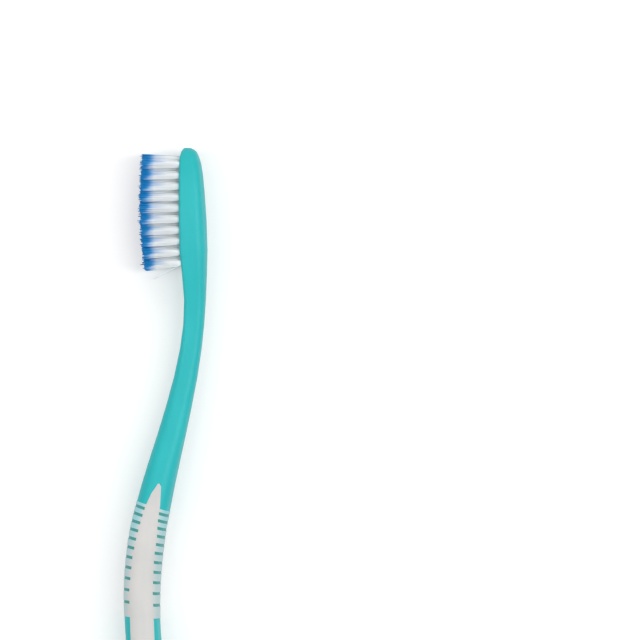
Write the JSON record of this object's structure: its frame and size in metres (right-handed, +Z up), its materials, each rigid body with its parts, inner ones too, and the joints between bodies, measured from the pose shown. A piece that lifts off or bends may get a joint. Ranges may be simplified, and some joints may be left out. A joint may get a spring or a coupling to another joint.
{
  "type": "manual toothbrush",
  "caption": "Manual toothbrush with a curved two-material handle, a slim neck, an oval head and rows of stapled tufts, lying on its side.",
  "frame": {"origin": "middle of the brush's length and of its side profile, on the surface that it lies on", "axes": "+X from the tip of the head to the butt, -Y the way the bristles point, +Z up out of the surface, from one side of the grip to the other"},
  "size_m": [0.188, 0.0203, 0.0134],
  "materials": {
    "handle_plastic": "smooth glossy moulded polypropylene, turquoise",
    "grip_rubber": "satin off-white soft moulded elastomer",
    "filament_nylon": "translucent white nylon filament with dyed blue tips",
    "anchor_brass": "plain rolled strip, cut to length"
  },
  "bodies": {
    "root": {"handle_body": "handle_plastic", "soft_grip": "grip_rubber", "anchor_plates": "anchor_brass", "tuft_left_outer_01": "filament_nylon", "tuft_left_outer_02": "filament_nylon", "tuft_left_outer_03": "filament_nylon", "tuft_left_outer_04": "filament_nylon", "tuft_left_outer_05": "filament_nylon", "tuft_left_outer_06": "filament_nylon", "tuft_left_outer_07": "filament_nylon", "tuft_left_outer_08": "filament_nylon", "tuft_left_outer_09": "filament_nylon", "tuft_left_outer_10": "filament_nylon", "tuft_left_inner_01": "filament_nylon", "tuft_left_inner_02": "filament_nylon", "tuft_left_inner_03": "filament_nylon", "tuft_left_inner_04": "filament_nylon", "tuft_left_inner_05": "filament_nylon", "tuft_left_inner_06": "filament_nylon", "tuft_left_inner_07": "filament_nylon", "tuft_left_inner_08": "filament_nylon", "tuft_left_inner_09": "filament_nylon", "tuft_left_inner_10": "filament_nylon", "tuft_right_inner_01": "filament_nylon", "tuft_right_inner_02": "filament_nylon", "tuft_right_inner_03": "filament_nylon", "tuft_right_inner_04": "filament_nylon", "tuft_right_inner_05": "filament_nylon", "tuft_right_inner_06": "filament_nylon", "tuft_right_inner_07": "filament_nylon", "tuft_right_inner_08": "filament_nylon", "tuft_right_inner_09": "filament_nylon", "tuft_right_inner_10": "filament_nylon", "tuft_right_outer_01": "filament_nylon", "tuft_right_outer_02": "filament_nylon", "tuft_right_outer_03": "filament_nylon", "tuft_right_outer_04": "filament_nylon", "tuft_right_outer_05": "filament_nylon", "tuft_right_outer_06": "filament_nylon", "tuft_right_outer_07": "filament_nylon", "tuft_right_outer_08": "filament_nylon", "tuft_right_outer_09": "filament_nylon", "tuft_right_outer_10": "filament_nylon"}
  },
  "joints": []
}
